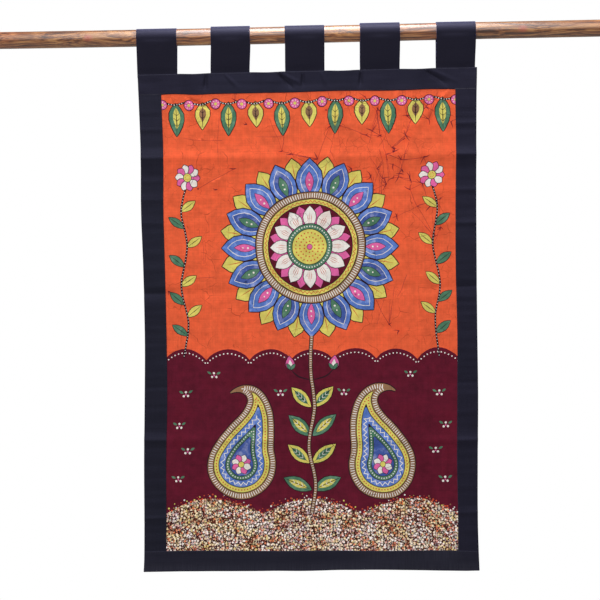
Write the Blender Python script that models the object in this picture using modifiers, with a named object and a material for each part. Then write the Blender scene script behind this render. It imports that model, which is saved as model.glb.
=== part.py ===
"""A batik wall hanging with a cloth border, hung by five cloth tabs from a round wooden rod.

The rod lies along X and the origin is the middle of its axis. The cloth hangs below it, faces -Y
and is +Z up. All sizes are in metres.
"""

import math
from collections import namedtuple

import bmesh
import bpy
from mathutils import Vector

# The rod and the running gap that separate pieces keep between them.
ROD_DIAMETER = 0.028
ROD_LENGTH = 1.100
ROD_SIDES = 40
ROD_CHAMFER = 0.0012
GAP = 0.0003

# Thickness of each cloth: the batik is one layer, the strips are folded double over its edge, and a
# tab is a flat tube of two layers.
PANEL_THICKNESS = 0.0012
STRIP_THICKNESS = 0.0024
TAB_THICKNESS = 0.0012

# Heights of the cloth's four crosswise seams and edges, at its left and its right side. The cloth is a
# little longer on the right, as it was sewn.
Line = namedtuple("Line", "left right")
HEADING_TOP = Line(-0.0610, -0.0605)
PANEL_TOP = Line(-0.0950, -0.0950)
PANEL_BOTTOM = Line(-0.8475, -0.8570)
CLOTH_BOTTOM = Line(-0.8820, -0.8900)

# Where the four lengthwise edges and seams run, at heights down the cloth.
Level = namedtuple("Level", "height outer_left inner_left inner_right outer_right")
LEVELS = (
    Level(-0.0400, -0.2835, -0.2465, 0.2425, 0.2770),
    Level(-0.1100, -0.2820, -0.2462, 0.2415, 0.2746),
    Level(-0.1900, -0.2806, -0.2448, 0.2408, 0.2729),
    Level(-0.2850, -0.2819, -0.2467, 0.2383, 0.2710),
    Level(-0.3850, -0.2801, -0.2459, 0.2365, 0.2694),
    Level(-0.5000, -0.2799, -0.2455, 0.2369, 0.2683),
    Level(-0.6000, -0.2822, -0.2465, 0.2349, 0.2676),
    Level(-0.7000, -0.2850, -0.2502, 0.2325, 0.2650),
    Level(-0.8000, -0.2865, -0.2516, 0.2320, 0.2629),
    Level(-0.8600, -0.2882, -0.2535, 0.2308, 0.2631),
    Level(-0.9000, -0.2903, -0.2545, 0.2308, 0.2640),
)

# Folds pressed into the cloth while it was stored, all the way across it. Place is the share of the
# cloth's length below the heading's top edge, and rise is how far the ridge stands forward.
Crease = namedtuple("Crease", "place rise half_width")
CREASES = (
    Crease(0.104, 0.0004, 0.008),
    Crease(0.166, 0.0015, 0.016),
    Crease(0.438, 0.0014, 0.018),
    Crease(0.629, -0.0006, 0.014),
    Crease(0.726, 0.0013, 0.016),
)

# Soft flutes in which the cloth hangs. Each runs down from its start to the bottom edge and grows on
# the way. Centre and half_width are shares of the half width of the cloth.
Flute = namedtuple("Flute", "centre half_width start rise")
FLUTES = (
    Flute(-0.98, 0.22, 0.55, 0.0045),
    Flute(-0.62, 0.24, 0.35, -0.0028),
    Flute(-0.22, 0.22, 0.60, 0.0030),
    Flute(0.10, 0.20, 0.50, -0.0024),
    Flute(0.42, 0.26, 0.45, 0.0034),
    Flute(0.74, 0.20, 0.30, -0.0030),
    Flute(1.00, 0.18, 0.60, 0.0040),
)

# The free bottom edge is drawn up a little away from its corners.
BOTTOM_RISE = 0.0022

# The heading sags between the tabs and bows forward there.
HEADING_SAG = 0.0009
HEADING_BOW = 0.0016
BOW_FADES_AT = 0.09

# Tabs, left to right.
Tab = namedtuple("Tab", "centre width")
TABS = (
    Tab(-0.2500, 0.0660),
    Tab(-0.1300, 0.0646),
    Tab(-0.0068, 0.0644),
    Tab(0.1168, 0.0656),
    Tab(0.2412, 0.0650),
)

# Divisions of each piece of cloth: along the cloth's width, then down its length.
PANEL_DIVISIONS = (26, 38)
SIDE_STRIP_DIVISIONS = (3, 38)
CROSS_STRIP_DIVISIONS = (40, 3)
TAB_DIVISIONS = (4, 26)

# The share of a tab's divisions that lie on its turn over the rod.
TURN_SHARE = 0.6


def clear_scene():
    for obj in list(bpy.data.objects):
        bpy.data.objects.remove(obj)


def material(name, colour, roughness):
    """A plain finish: linear colour, and no metal."""
    finish = bpy.data.materials.new(name)
    finish.use_nodes = True
    shader = finish.node_tree.nodes["Principled BSDF"]
    shader.inputs["Base Color"].default_value = (*colour, 1.0)
    shader.inputs["Roughness"].default_value = roughness
    shader.inputs["Metallic"].default_value = 0.0
    return finish


def mix(a, b, share):
    return a + (b - a) * share


def hump(distance, half_width):
    """A soft bell: 1 at no distance, and 0 from half_width on."""
    share = min(abs(distance) / half_width, 1.0)
    return (1.0 - share * share) ** 2


def ease(share):
    share = min(max(share, 0.0), 1.0)
    return share * share * (3.0 - 2.0 * share)


def lengthwise(column, height):
    """Where a lengthwise edge or seam is at this height, on a smooth curve through LEVELS."""
    last = len(LEVELS) - 2
    row = next((i for i in range(last) if height >= LEVELS[i + 1].height), last)
    above, below = LEVELS[row], LEVELS[row + 1]
    share = (above.height - height) / (above.height - below.height)
    before = getattr(LEVELS[max(row - 1, 0)], column)
    start = getattr(above, column)
    end = getattr(below, column)
    after = getattr(LEVELS[min(row + 2, len(LEVELS) - 1)], column)
    start_slope = (end - before) / 2.0
    end_slope = (after - start) / 2.0
    bend = share * (1.0 - share)
    straight = mix(start, end, ease(share))
    return straight + bend * ((1.0 - share) * start_slope - share * end_slope)


def across_at(x, height):
    """-1 on the cloth's left edge at this height, 1 on its right edge."""
    left = lengthwise("outer_left", height)
    right = lengthwise("outer_right", height)
    return 2.0 * (x - left) / (right - left) - 1.0


def between_tabs(across):
    """0 on a tab, and up to 1 halfway between two."""
    left_edge = lengthwise("outer_left", HEADING_TOP.left)
    right_edge = lengthwise("outer_right", HEADING_TOP.right)
    x = mix(left_edge, right_edge, (across + 1.0) / 2.0)
    for left, right in zip(TABS, TABS[1:]):
        start = left.centre + left.width / 2.0
        end = right.centre - right.width / 2.0
        if start < x < end:
            return math.sin(math.pi * (x - start) / (end - start)) ** 2
    return 0.0


def crosswise(line, across):
    """The height of a crosswise edge or seam, at a place across the cloth."""
    height = mix(line.left, line.right, (across + 1.0) / 2.0)
    if line is CLOTH_BOTTOM:
        height += BOTTOM_RISE * (1.0 - across * across)
    if line is HEADING_TOP:
        height -= HEADING_SAG * between_tabs(across)
    return height


def relief(across, height):
    """How far the cloth's middle surface stands forward of the rod's axis."""
    top = crosswise(HEADING_TOP, across)
    length = top - crosswise(CLOTH_BOTTOM, across)
    down = (top - height) / length
    forward = HEADING_BOW * between_tabs(across) * (1.0 - ease(down / BOW_FADES_AT))
    for crease in CREASES:
        forward += crease.rise * hump((down - crease.place) * length, crease.half_width)
    for flute in FLUTES:
        grown = ease((down - flute.start) / (1.0 - flute.start))
        forward += flute.rise * grown * hump(across - flute.centre, flute.half_width)
    return forward


def grid(name, divisions, place, thickness, finish):
    """A sheet made from a flat grid. place moves its points, given as shares across and down."""
    mesh = bpy.data.meshes.new(name)
    cloth = bmesh.new()
    bmesh.ops.create_grid(cloth, x_segments=divisions[0], y_segments=divisions[1], size=0.5)
    for vertex in cloth.verts:
        vertex.co = place(vertex.co.x + 0.5, 0.5 - vertex.co.y)
    bmesh.ops.recalc_face_normals(cloth, faces=cloth.faces)
    cloth.to_mesh(mesh)
    cloth.free()
    mesh.materials.append(finish)
    mesh.shade_smooth()
    sheet = bpy.data.objects.new(name, mesh)
    bpy.context.scene.collection.objects.link(sheet)
    solidify = sheet.modifiers.new("Cloth thickness", "SOLIDIFY")
    solidify.thickness = thickness
    solidify.offset = 0.0
    solidify.use_even_offset = True
    return sheet


def sewn_piece(name, columns, lines, inset, divisions, thickness, finish):
    """A piece of the hanging cloth, between two lengthwise columns and two crosswise lines.

    inset is how far it is held back from the columns, and from the lines.
    """
    side_inset, end_inset = inset

    def x_at(share, height):
        left = lengthwise(columns[0], height) + side_inset
        right = lengthwise(columns[1], height) - side_inset
        return mix(left, right, share)

    def line_height(line, share):
        x = x_at(share, mix(line.left, line.right, share))
        return crosswise(line, across_at(x, line.left))

    def place(share, down):
        top = line_height(lines[0], share) - end_inset
        bottom = line_height(lines[1], share) + end_inset
        height = mix(top, bottom, down)
        x = x_at(share, height)
        return Vector((x, -relief(across_at(x, height), height), height))

    return grid(name, divisions, place, thickness, finish)


def add_cloth(batik, navy):
    """The batik and the four strips round it. The upper and the lower strip run the full width."""
    outer = ("outer_left", "outer_right")
    inner = ("inner_left", "inner_right")
    left = ("outer_left", "inner_left")
    right = ("inner_right", "outer_right")
    upper = (HEADING_TOP, PANEL_TOP)
    middle = (PANEL_TOP, PANEL_BOTTOM)
    lower = (PANEL_BOTTOM, CLOTH_BOTTOM)
    flush = (0.0, 0.0)
    batik_finish = (PANEL_DIVISIONS, PANEL_THICKNESS, batik)
    side_finish = (SIDE_STRIP_DIVISIONS, STRIP_THICKNESS, navy)
    cross_finish = (CROSS_STRIP_DIVISIONS, STRIP_THICKNESS, navy)
    return [
        sewn_piece("batik_panel", inner, middle, (GAP, GAP), *batik_finish),
        sewn_piece("left_strip", left, middle, (0.0, GAP), *side_finish),
        sewn_piece("right_strip", right, middle, (0.0, GAP), *side_finish),
        sewn_piece("heading_strip", outer, upper, flush, *cross_finish),
        sewn_piece("hem_strip", outer, lower, flush, *cross_finish),
    ]


def tab_point(way, foot_depth, foot_height):
    """The depth and height of a tab's middle surface. way is 0 at its front foot, 1 at its back one.

    It rises straight from its foot to touch the rod, turns over it, and comes down behind.
    """
    radius = ROD_DIAMETER / 2.0 + GAP + TAB_THICKNESS / 2.0
    reach = math.hypot(foot_depth, foot_height)
    foot_angle = 2.0 * math.pi + math.atan2(foot_height, -foot_depth)
    front_contact = foot_angle - math.acos(radius / reach)
    back_contact = math.pi - front_contact
    leg_share = (1.0 - TURN_SHARE) / 2.0
    if way > 1.0 - leg_share:
        depth, height = tab_point(1.0 - way, foot_depth, foot_height)
        return -depth, height
    if way < leg_share:
        foot = Vector((-foot_depth, foot_height))
        contact = radius * Vector((math.cos(front_contact), math.sin(front_contact)))
        depth, height = foot.lerp(contact, way / leg_share)
        return depth, height
    angle = mix(front_contact, back_contact, (way - leg_share) / TURN_SHARE)
    return radius * math.cos(angle), radius * math.sin(angle)


def add_tab(number, tab, navy):
    """A strip folded over the rod, with both ends side by side at the heading's top edge."""
    foot_height = crosswise(HEADING_TOP, across_at(tab.centre, HEADING_TOP.left)) + GAP
    foot_depth = (TAB_THICKNESS + GAP) / 2.0

    def place(share, way):
        depth, height = tab_point(way, foot_depth, foot_height)
        return Vector((tab.centre + (share - 0.5) * tab.width, depth, height))

    return grid(f"tab_{number}", TAB_DIVISIONS, place, TAB_THICKNESS, navy)


def add_rod(wood):
    """A plain round rod, cut square and broken at both ends."""
    bpy.ops.mesh.primitive_cylinder_add(
        vertices=ROD_SIDES,
        radius=ROD_DIAMETER / 2.0,
        depth=ROD_LENGTH,
        rotation=(0.0, math.pi / 2.0, 0.0),
    )
    rod = bpy.context.object
    rod.name = "rod"
    rod.data.materials.append(wood)
    rod.data.shade_smooth()
    rod.data.set_sharp_from_angle(angle=math.radians(30.0))
    chamfer = rod.modifiers.new("Broken ends", "BEVEL")
    chamfer.width = ROD_CHAMFER
    chamfer.segments = 1
    chamfer.limit_method = "ANGLE"
    chamfer.angle_limit = math.radians(60.0)
    return rod


def main():
    clear_scene()
    batik = material("Batik cotton", (0.78, 0.13, 0.035), 0.85)
    navy = material("Navy cotton", (0.016, 0.016, 0.026), 0.80)
    wood = material("Varnished wood", (0.30, 0.15, 0.07), 0.35)
    pieces = add_cloth(batik, navy)
    pieces += [add_tab(i + 1, tab, navy) for i, tab in enumerate(TABS)]
    pieces.append(add_rod(wood))
    hanging = bpy.data.collections.new("Batik wall hanging")
    bpy.context.scene.collection.children.link(hanging)
    for piece in pieces:
        for holder in list(piece.users_collection):
            holder.objects.unlink(piece)
        hanging.objects.link(piece)


main()
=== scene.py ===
import math
import random
from collections import namedtuple

import bmesh
import bpy
import numpy as np
from mathutils import Matrix, Vector, noise
from mathutils.geometry import delaunay_2d_cdt


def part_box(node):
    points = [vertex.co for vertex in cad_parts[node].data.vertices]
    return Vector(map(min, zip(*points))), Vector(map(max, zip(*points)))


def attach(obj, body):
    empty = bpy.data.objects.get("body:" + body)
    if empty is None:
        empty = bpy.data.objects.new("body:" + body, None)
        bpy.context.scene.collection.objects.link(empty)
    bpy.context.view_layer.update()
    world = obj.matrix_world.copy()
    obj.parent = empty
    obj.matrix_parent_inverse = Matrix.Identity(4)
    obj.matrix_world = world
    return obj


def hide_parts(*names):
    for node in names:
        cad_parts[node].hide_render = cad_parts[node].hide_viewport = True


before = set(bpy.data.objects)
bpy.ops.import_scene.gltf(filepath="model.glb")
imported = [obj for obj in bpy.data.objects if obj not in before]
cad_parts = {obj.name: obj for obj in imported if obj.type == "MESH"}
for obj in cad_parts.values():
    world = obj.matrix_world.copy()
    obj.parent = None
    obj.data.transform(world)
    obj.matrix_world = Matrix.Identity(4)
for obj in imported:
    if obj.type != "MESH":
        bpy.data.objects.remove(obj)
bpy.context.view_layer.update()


# The room.
# A plain pale floor well below the cloth, a white surround and large soft lights. The camera looks
# straight at the cloth, from the height of its middle, and is held a little off level.
camera_distance = 3.0
view_width = 0.989
view_centre = Vector((-0.0228, 0.0, -0.4381))
camera_roll = math.radians(1.153)
surround_light_strength = 0.21
floor_height = -1.45
floor_reach = 2.0


def in_scene(name, data):
    """A new object, linked to the scene."""
    thing = bpy.data.objects.new(name, data)
    bpy.context.scene.collection.objects.link(thing)
    return thing


camera_data = bpy.data.cameras.new("Camera")
camera_data.sensor_width = 36.0
camera_data.lens = camera_data.sensor_width * camera_distance / view_width
camera = in_scene("Camera", camera_data)
camera_right = Vector((math.cos(camera_roll), 0.0, -math.sin(camera_roll)))
camera_up = Vector((math.sin(camera_roll), 0.0, math.cos(camera_roll)))
camera_back = Vector((0.0, -1.0, 0.0))
turned = Matrix((camera_right, camera_up, camera_back)).transposed()
camera_place = view_centre + camera_back * camera_distance
camera.matrix_world = Matrix.Translation(camera_place) @ turned.to_4x4()
bpy.context.scene.camera = camera
bpy.context.scene.view_settings.view_transform = "Standard"

# The surround is seen white, but lights the cloth less than that.
surround = bpy.data.worlds.new("White surround")
surround.use_nodes = True
surround_tree = surround.node_tree
surround_light = surround_tree.nodes["Background"]
surround_light.inputs["Color"].default_value = (1.0, 1.0, 1.0, 1.0)
surround_strength = surround_tree.nodes.new("ShaderNodeMapRange")
surround_strength.inputs["To Min"].default_value = surround_light_strength
surround_strength.inputs["To Max"].default_value = 1.0
seen_directly = surround_tree.nodes.new("ShaderNodeLightPath").outputs["Is Camera Ray"]
surround_tree.links.new(seen_directly, surround_strength.inputs["Value"])
surround_tree.links.new(surround_strength.outputs["Result"], surround_light.inputs["Strength"])
bpy.context.scene.world = surround


def soft_box(name, place, target, size, power):
    """An oblong soft light, aimed at a point."""
    box = bpy.data.lights.new(name, "AREA")
    box.shape = "RECTANGLE"
    box.size, box.size_y = size
    box.energy = power
    light = in_scene(name, box)
    light.location = place
    light.rotation_euler = (Vector(target) - Vector(place)).to_track_quat("-Z", "Y").to_euler()


def as_mesh(form, name):
    """A form turned into a mesh of this name."""
    mesh = bpy.data.meshes.new(name)
    form.to_mesh(mesh)
    form.free()
    return mesh


def new_finish(name, roughness, specular):
    """A material with its node tree and its shader."""
    finish = bpy.data.materials.new(name)
    finish.use_nodes = True
    shader = finish.node_tree.nodes["Principled BSDF"]
    shader.inputs["Roughness"].default_value = roughness
    shader.inputs["Specular IOR Level"].default_value = specular
    return finish, finish.node_tree, shader


soft_box("Overhead soft box", (0.05, -0.22, 1.20), (0.05, 0.0, 0.0), (0.70, 0.90), 24.0)
soft_box("High front soft box", (0.10, -4.88, 3.81), (0.07, 0.0, 0.0), (2.20, 6.80), 238.0)
soft_box("Front fill box", (0.10, -5.60, 0.35), (0.07, 0.0, 0.0), (2.20, 1.60), 16.0)
soft_box("Side soft box", (-3.2, -1.2, -0.6), (0.0, 0.0, -0.60), (1.2, 1.6), 34.0)

floor_form = bmesh.new()
bmesh.ops.create_grid(floor_form, x_segments=1, y_segments=1, size=floor_reach)
bmesh.ops.translate(floor_form, verts=floor_form.verts, vec=(0.0, 0.0, floor_height))
floor = in_scene("Floor", as_mesh(floor_form, "Floor"))
floor_finish, _, floor_shader = new_finish("Pale floor", 0.8, 0.5)
floor_shader.inputs["Base Color"].default_value = (0.55, 0.54, 0.52, 1.0)
floor.data.materials.append(floor_finish)


# The rod.
# A turned oak dowel, stained red-brown and varnished, with painted light that makes it lighter in its
# middle, under the light above, and darker towards its ends. Its cut ends are square with their edges
# just broken. It lies on wall brackets beyond the cloth, and has bowed a little.
rod_low, rod_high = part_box("rod")
rod_radius = (rod_high.z - rod_low.z) / 2.0
rod_length = rod_high.x - rod_low.x
rod_sides = 96
rod_cuts = 109
rod_end_break = 0.0012
rod_unevenness = 0.00010
rod_bow = 0.0014
rod_bow_middle = -0.20
rod_bow_reach = 0.52


def hump(distance, half_width):
    """A soft bell: 1 at no distance, and 0 from half_width on."""
    share = min(abs(distance) / half_width, 1.0)
    return (1.0 - share * share) ** 2


def rod_axis_height(x):
    return -rod_bow * hump(x - rod_bow_middle, rod_bow_reach)


rod_form = bmesh.new()
bmesh.ops.create_cone(
    rod_form, cap_ends=True, segments=rod_sides, radius1=rod_radius, radius2=rod_radius, depth=rod_length
)
end_edges = [edge for edge in rod_form.edges if edge.calc_length() < rod_length / 2.0]
bmesh.ops.bevel(
    rod_form, geom=end_edges, offset=rod_end_break, affect="EDGES", segments=3, profile=0.5, material=-1
)
long_edges = [edge for edge in rod_form.edges if edge.calc_length() > rod_length / 2.0]
bmesh.ops.subdivide_edges(rod_form, edges=long_edges, cuts=rod_cuts, use_grid_fill=True)
bmesh.ops.rotate(rod_form, verts=rod_form.verts, matrix=Matrix.Rotation(math.radians(90.0), 3, "Y"))
for vertex in rod_form.verts:
    outwards = Vector((0.0, vertex.co.y, vertex.co.z))
    if outwards.length > rod_radius * 0.98:
        hollow = noise.noise(Vector((vertex.co.x * 14.0, outwards.y * 60.0, outwards.z * 60.0)))
        vertex.co -= outwards.normalized() * rod_unevenness * (1.0 + hollow)
    vertex.co.z += rod_axis_height(vertex.co.x)
rod = in_scene("turned_rod", as_mesh(rod_form, "Rod"))
rod.data.shade_smooth()
rod.data.set_sharp_from_angle(angle=math.radians(40.0))


def put(tree, kind, **values):
    """Adds a node. A value goes to the node's setting of that name, or else to its input: a, b and c
    are the first three inputs, and an underscore stands for a space."""
    node = tree.nodes.new("ShaderNode" + kind)
    for name, value in values.items():
        if hasattr(node, name):
            setattr(node, name, value)
            continue
        socket = node.inputs["abc".index(name) if name in "abc" else name.replace("_", " ")]
        if isinstance(value, bpy.types.NodeSocket):
            tree.links.new(value, socket)
        else:
            socket.default_value = value
    return node


def reckon(tree, operation, a, b=0.0, clamp=False):
    """One step of arithmetic on plain numbers."""
    return put(tree, "Math", operation=operation, use_clamp=clamp, a=a, b=b).outputs[0]


def times(tree, a, b):
    return reckon(tree, "MULTIPLY", a, b)


def share_of(tree, value, low, high, start=0.0, end=1.0):
    """Where a value lies between two others, as a number from start to end."""
    return put(
        tree, "MapRange", Value=value, From_Min=low, From_Max=high, To_Min=start, To_Max=end
    ).outputs["Result"]


def blend_colours(tree, share, first, second, blend="MIX"):
    node = put(tree, "Mix", data_type="RGBA", blend_type=blend)
    colour_sockets = [socket for socket in node.inputs if socket.type == "RGBA"]
    for socket, value in zip([node.inputs[0]] + colour_sockets, (share, first, second)):
        if isinstance(value, bpy.types.NodeSocket):
            tree.links.new(value, socket)
        else:
            socket.default_value = (*value, 1.0) if socket.type == "RGBA" else value
    return next(socket for socket in node.outputs if socket.type == "RGBA")


def tinted(tree, colour, tint):
    """A colour times another."""
    return blend_colours(tree, 1.0, colour, tint, "MULTIPLY")


def lightened(tree, colour, amount):
    """A colour times a number."""
    node = put(tree, "VectorMath", operation="SCALE", a=colour)
    tree.links.new(amount, node.inputs["Scale"])
    return node.outputs[0]


def drawn_out(tree, vector, scale, shift=0.0):
    """Coordinates scaled by its own amount each way."""
    return put(tree, "Mapping", Vector=vector, Scale=scale, Location=(shift, shift, shift)).outputs[0]


def clouds(tree, vector, scale, detail=3.0, roughness=0.55):
    """Soft noise from 0 to 1."""
    return put(
        tree, "TexNoise", Vector=vector, Scale=scale, Detail=detail, Roughness=roughness
    ).outputs["Fac"]


def long_clouds(tree, vector, scale, shift, detail=3.0, roughness=0.55):
    """Soft noise with its own scale each way."""
    return clouds(tree, drawn_out(tree, vector, scale, shift), 1.0, detail, roughness)


def swayed(tree, vector, scale, reach):
    """Coordinates bent by soft noise."""
    bend = put(tree, "TexNoise", Vector=vector, Scale=scale, Detail=2.0).outputs["Color"]
    return put(tree, "VectorMath", operation="MULTIPLY_ADD", a=bend, b=reach, c=vector).outputs[0]


def surfaced(tree, shader, colour, height, strength, depth):
    """Gives a shader its colour, and the bumps of a height."""
    tree.links.new(colour, shader.inputs["Base Color"])
    bump = put(tree, "Bump", Height=height, Strength=strength, Distance=depth)
    tree.links.new(bump.outputs["Normal"], shader.inputs["Normal"])


def colour_steps(tree, value, stops, interpolation="LINEAR"):
    ramp_node = put(tree, "ValToRGB", Fac=value)
    ramp = ramp_node.color_ramp
    ramp.interpolation = interpolation
    while len(ramp.elements) < len(stops):
        ramp.elements.new(0.5)
    for element, (position, colour) in zip(ramp.elements, stops):
        element.position = position
        element.color = (*colour, 1.0)
    return ramp_node.outputs["Color"]


oak, tree, shader = new_finish("Varnished oak", 0.40, 0.3)
on_rod = put(tree, "TexCoord").outputs["Object"]
grain_way = swayed(tree, on_rod, 6.0, (0.0, 0.034, 0.034))
broad_grain = long_clouds(tree, grain_way, (5.0, 210.0, 210.0), 4.3, 3.0, 0.6)
close_grain = long_clouds(tree, grain_way, (16.0, 640.0, 640.0), 0.0, 3.0, 0.65)
pore_clouds = long_clouds(tree, grain_way, (70.0, 1500.0, 1500.0), 0.0, 1.0)
pores = share_of(tree, pore_clouds, 0.54, 0.68)
figure = blend_colours(tree, 0.52, broad_grain, close_grain)
wood_stops = (
    (0.40, (0.044, 0.012, 0.004)),
    (0.46, (0.170, 0.049, 0.012)),
    (0.52, (0.375, 0.142, 0.041)),
    (0.60, (0.590, 0.288, 0.102)),
)
wood = colour_steps(tree, figure, wood_stops)
wood = blend_colours(tree, times(tree, pores, 0.5), wood, (0.100, 0.032, 0.012))
stain_clouds = long_clouds(tree, on_rod, (7.0, 26.0, 26.0), 2.0)
reddened = tinted(tree, wood, (1.0, 0.74, 0.70))
wood = blend_colours(tree, share_of(tree, stain_clouds, 0.45, 0.62, 0.0, 0.85), wood, reddened)
from_middle = reckon(tree, "ABSOLUTE", put(tree, "SeparateXYZ", Vector=on_rod).outputs["X"])
# Painted light: lighter in the middle of the rod, under the overhead light, and darker towards its ends.
wood = lightened(tree, wood, share_of(tree, from_middle, 0.10, 0.32, 1.10, 0.84))
for smudge_x, smudge_z in ((-0.362, -0.001), (0.352, 0.0)):
    seen_flat = drawn_out(tree, on_rod, (1.0, 0.0, 1.4))
    away = put(tree, "VectorMath", operation="DISTANCE", a=seen_flat, b=(smudge_x, 0.0, smudge_z * 1.4))
    smudge = share_of(tree, away.outputs["Value"], 0.003, 0.010, 0.75, 0.0)
    wood = blend_colours(tree, smudge, wood, (0.42, 0.085, 0.055))
dents = reckon(tree, "SUBTRACT", close_grain, times(tree, pores, 0.6))
surfaced(tree, shader, wood, dents, 0.22, 0.0002)
shader.inputs["Coat Weight"].default_value = 1.0
shader.inputs["Coat Roughness"].default_value = 0.32
shader.inputs["Coat IOR"].default_value = 1.66
rod.data.materials.append(oak)
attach(rod, "root")
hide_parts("rod")


# The batik panel.
# One layer of plain-woven cotton, waxed and dyed several times over, with its raw edges caught
# inside the strips. It keeps the folds of its storage and hangs in soft flutes towards its foot.
millimetre = 0.001
panel_width = 484.0
panel_height = 756.0
panel_tuck = 4.0
panel_thickness = 0.0006
panel_pitch = 4.2

# The seams and edges of the hanging cloth: the crosswise ones by their height at its left and right
# side, and the lengthwise ones by how far to the right they are on the way down.
Line = namedtuple("Line", "left right")
heading_top = Line(-0.0615, -0.0600)
panel_top = Line(-0.0958, -0.0962)
panel_bottom = Line(-0.8462, -0.8566)
cloth_bottom = Line(-0.8820, -0.8900)

Level = namedtuple("Level", "height outer_left inner_left inner_right outer_right")
levels = (
    Level(-0.0400, -0.2835, -0.2448, 0.2408, 0.2772),
    Level(-0.1100, -0.2820, -0.2444, 0.2398, 0.2749),
    Level(-0.1900, -0.2806, -0.2430, 0.2392, 0.2730),
    Level(-0.2850, -0.2819, -0.2447, 0.2366, 0.2710),
    Level(-0.3850, -0.2801, -0.2440, 0.2348, 0.2695),
    Level(-0.5000, -0.2799, -0.2437, 0.2352, 0.2684),
    Level(-0.6000, -0.2822, -0.2447, 0.2332, 0.2677),
    Level(-0.7000, -0.2850, -0.2484, 0.2308, 0.2650),
    Level(-0.8000, -0.2863, -0.2498, 0.2304, 0.2629),
    Level(-0.8600, -0.2878, -0.2517, 0.2292, 0.2631),
    Level(-0.9000, -0.2903, -0.2527, 0.2292, 0.2640),
)

# A tab leans: its fold over the rod stands a little to one side of its foot.
Tab = namedtuple("Tab", "centre width lean thickness")
tabs = (
    Tab(-0.2503, 0.0660, 0.0002, 0.0009),
    Tab(-0.1304, 0.0644, 0.0018, 0.0024),
    Tab(-0.0072, 0.0650, 0.0006, 0.0012),
    Tab(0.1163, 0.0656, 0.0010, 0.0026),
    Tab(0.2410, 0.0648, 0.0014, 0.0014),
)

# A storage fold is a pressed ridge or valley that dies away above and below. Its left and right
# ends are given as shares of the way down the cloth.
Crease = namedtuple("Crease", "left right rise above below")
creases = (
    Crease(0.111, 0.111, 0.0007, 0.012, 0.012),
    Crease(0.168, 0.174, 0.0036, 0.026, 0.036),
    Crease(0.252, 0.243, 0.0006, 0.012, 0.014),
    Crease(0.299, 0.309, 0.0006, 0.012, 0.012),
    Crease(0.441, 0.435, -0.0017, 0.020, 0.020),
    Crease(0.629, 0.625, -0.0005, 0.012, 0.012),
    Crease(0.737, 0.741, 0.0024, 0.022, 0.018),
    Crease(0.893, 0.884, 0.0011, 0.014, 0.012),
)

Flute = namedtuple("Flute", "centre half_width start rise")
flutes = (
    Flute(-0.98, 0.22, 0.55, 0.0045),
    Flute(-0.62, 0.24, 0.35, -0.0028),
    Flute(-0.22, 0.22, 0.60, 0.0030),
    Flute(0.10, 0.20, 0.50, -0.0024),
    Flute(0.42, 0.26, 0.45, 0.0034),
    Flute(0.74, 0.20, 0.30, -0.0030),
    Flute(1.00, 0.18, 0.60, 0.0040),
)

# A pucker starts narrow at its first end, where stitches gather the cloth, and fans out to its second.
Pucker = namedtuple("Pucker", "x_start z_start x_end z_end half_width rise")
panel_puckers = (
    Pucker(-0.202, -0.1008, -0.160, -0.1225, 0.0052, -0.0030),
    Pucker(-0.206, -0.1010, -0.178, -0.1450, 0.0066, 0.0026),
    Pucker(-0.207, -0.1000, -0.208, -0.1280, 0.0040, -0.0008),
    Pucker(-0.070, -0.094, -0.090, -0.140, 0.0080, 0.0012),
    Pucker(0.052, -0.094, 0.066, -0.150, 0.0085, -0.0012),
    Pucker(0.146, -0.094, 0.132, -0.142, 0.0080, 0.0012),
    Pucker(0.232, -0.096, 0.176, -0.150, 0.0085, 0.0018),
    Pucker(0.228, -0.856, 0.180, -0.800, 0.0090, 0.0008),
    Pucker(-0.252, -0.846, -0.205, -0.796, 0.0090, 0.0008),
    Pucker(-0.246, -0.300, -0.190, -0.286, 0.0090, 0.0006),
    Pucker(0.238, -0.420, 0.188, -0.440, 0.0090, 0.0006),
)

# The foot of the hem is a shallow arch. It and the heading's seam are sewn a little unevenly.
bottom_rise = 0.0022
Wave = namedtuple("Wave", "centre half_width rise")
seam_waves = {
    panel_top: (
        Wave(-0.80, 0.11, 0.0011),
        Wave(-0.65, 0.09, -0.0009),
        Wave(0.18, 0.30, 0.0013),
        Wave(0.73, 0.17, 0.0011),
    ),
    cloth_bottom: (
        Wave(-1.00, 0.34, 0.0014),
        Wave(-0.45, 0.34, -0.0006),
        Wave(-0.02, 0.22, -0.0012),
        Wave(0.41, 0.24, 0.0009),
        Wave(0.78, 0.20, -0.0009),
        Wave(1.00, 0.08, 0.0005),
    ),
}
heading_sag = 0.0009
heading_bow = 0.0016
bow_fades_at = 0.09
free_from = 0.02
crease_waver = 0.0022
crease_sharpness = 2.4
broad_waver = 0.0010
fine_waver = 0.00030
wrinkle_rise = 0.00035


def mix(a, b, share):
    return a + (b - a) * share


def ease(share):
    share = min(max(share, 0.0), 1.0)
    return share * share * (3.0 - 2.0 * share)


def lengthwise(column, height):
    """Where a lengthwise edge or seam is at this height, on a smooth curve through the levels."""
    last = len(levels) - 2
    row = next((i for i in range(last) if height >= levels[i + 1].height), last)
    above, below = levels[row], levels[row + 1]
    share = (above.height - height) / (above.height - below.height)
    before = getattr(levels[max(row - 1, 0)], column)
    start = getattr(above, column)
    end = getattr(below, column)
    after = getattr(levels[min(row + 2, len(levels) - 1)], column)
    start_slope = (end - before) / 2.0
    end_slope = (after - start) / 2.0
    bend = share * (1.0 - share)
    return mix(start, end, ease(share)) + bend * ((1.0 - share) * start_slope - share * end_slope)


def across_at(x, height):
    """-1 on the cloth's left edge at this height, 1 on its right edge."""
    left = lengthwise("outer_left", height)
    right = lengthwise("outer_right", height)
    return 2.0 * (x - left) / (right - left) - 1.0


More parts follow.
